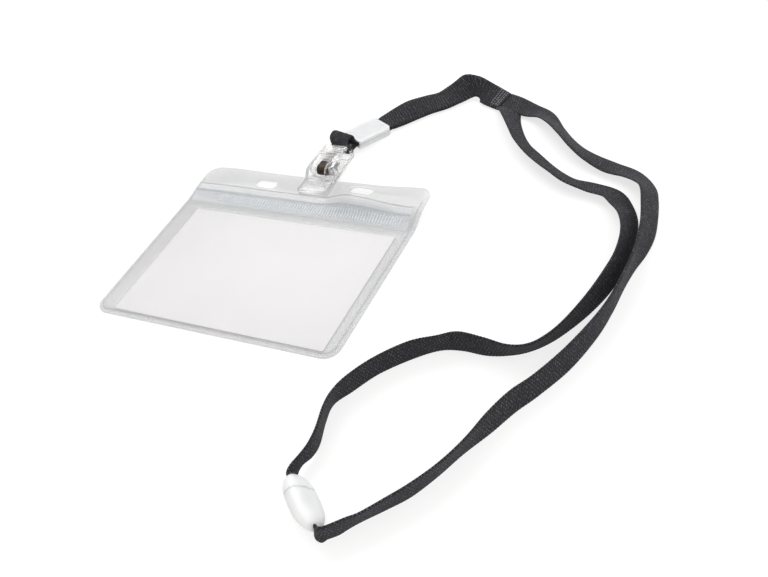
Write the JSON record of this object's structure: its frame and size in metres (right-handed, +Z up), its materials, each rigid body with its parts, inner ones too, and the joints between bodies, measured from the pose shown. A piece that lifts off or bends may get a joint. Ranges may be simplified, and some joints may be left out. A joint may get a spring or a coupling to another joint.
{
  "type": "badge holder",
  "caption": "Zip-top clear vinyl badge pouch with a white insert card, on a sprung clear clip with a crimped charcoal neck strap and a breakaway buckle",
  "frame": {"origin": "on the table under the pouch, halfway across it and 48 mm above its bottom edge", "axes": "+X along the pouch's width to the right, +Y from the pouch towards the clip, +Z up from the table"},
  "size_m": [0.2011, 0.2341, 0.0109],
  "materials": {
    "clear_vinyl": "clear soft vinyl film, glossy, slightly grey",
    "zip_plastic": "clear extruded zip strip with fine cross lines",
    "card_stock": "plain white card, matt",
    "clear_plastic": "clear moulded plastic, glossy",
    "steel_pin": "plain bright steel pin",
    "dark_spring": "oiled dark brown spring steel",
    "milky_plastic": "milky white moulded plastic, half matt",
    "strap_webbing": "charcoal polyester webbing with a fine ribbed weave",
    "stitch_thread": "grey sewing thread"
  },
  "bodies": {
    "strap": {"stem_strap": "strap_webbing", "leg_a_strap": "strap_webbing", "leg_b_strap": "strap_webbing", "joint_stitching": "stitch_thread", "clip_strap_loop": "strap_webbing", "crimp_top_shell": "milky_plastic", "crimp_bottom_shell": "milky_plastic", "leg_b_end_loop": "strap_webbing", "breakaway_plug": "milky_plastic"},
    "clip": {"clip_lower_arm": "clear_plastic", "clip_pin": "steel_pin", "clip_spring": "dark_spring"},
    "clip_lever": {"clip_upper_arm": "clear_plastic"},
    "pouch": {"back_film": "clear_vinyl", "front_film": "clear_vinyl", "zip_groove_strip": "zip_plastic"},
    "card": {"insert_card": "card_stock"},
    "zip_lip": {"zip_rib_strip": "zip_plastic"},
    "buckle_socket": {"breakaway_socket": "milky_plastic", "leg_a_end_loop": "strap_webbing"}
  },
  "joints": [
    {"name": "clip_swing", "type": "hinge", "parent": "strap", "child": "clip", "pos_m": [0.002, 0.0648, 0.0036], "axis": [-1, 0, 0], "range_deg": [-40, 60]},
    {"name": "clip_jaw", "type": "hinge", "parent": "clip", "child": "clip_lever", "pos_m": [0.002, 0.0475, 0.0043], "axis": [-1, 0, 0], "range_deg": [0, 20], "stiffness_Nm_per_rad": 0.1, "springref_deg": -20.05, "deforming": ["clip_spring"]},
    {"name": "pouch_release", "type": "slide", "parent": "clip", "child": "pouch", "axis": [0, -1, 0], "range_m": [0, 0.012]},
    {"name": "card_slide", "type": "slide", "parent": "pouch", "child": "card", "axis": [0, 1, 0], "range_m": [0, 0.004]},
    {"name": "zip_open", "type": "slide", "parent": "pouch", "child": "zip_lip", "axis": [0, 0, 1], "range_m": [0, 0.003], "deforming": ["front_film"]},
    {"name": "breakaway_release", "type": "slide", "parent": "strap", "child": "buckle_socket", "axis": [0.7373, -0.6756, 0], "range_m": [0, 0.008], "deforming": ["leg_a_strap"]}
  ]
}
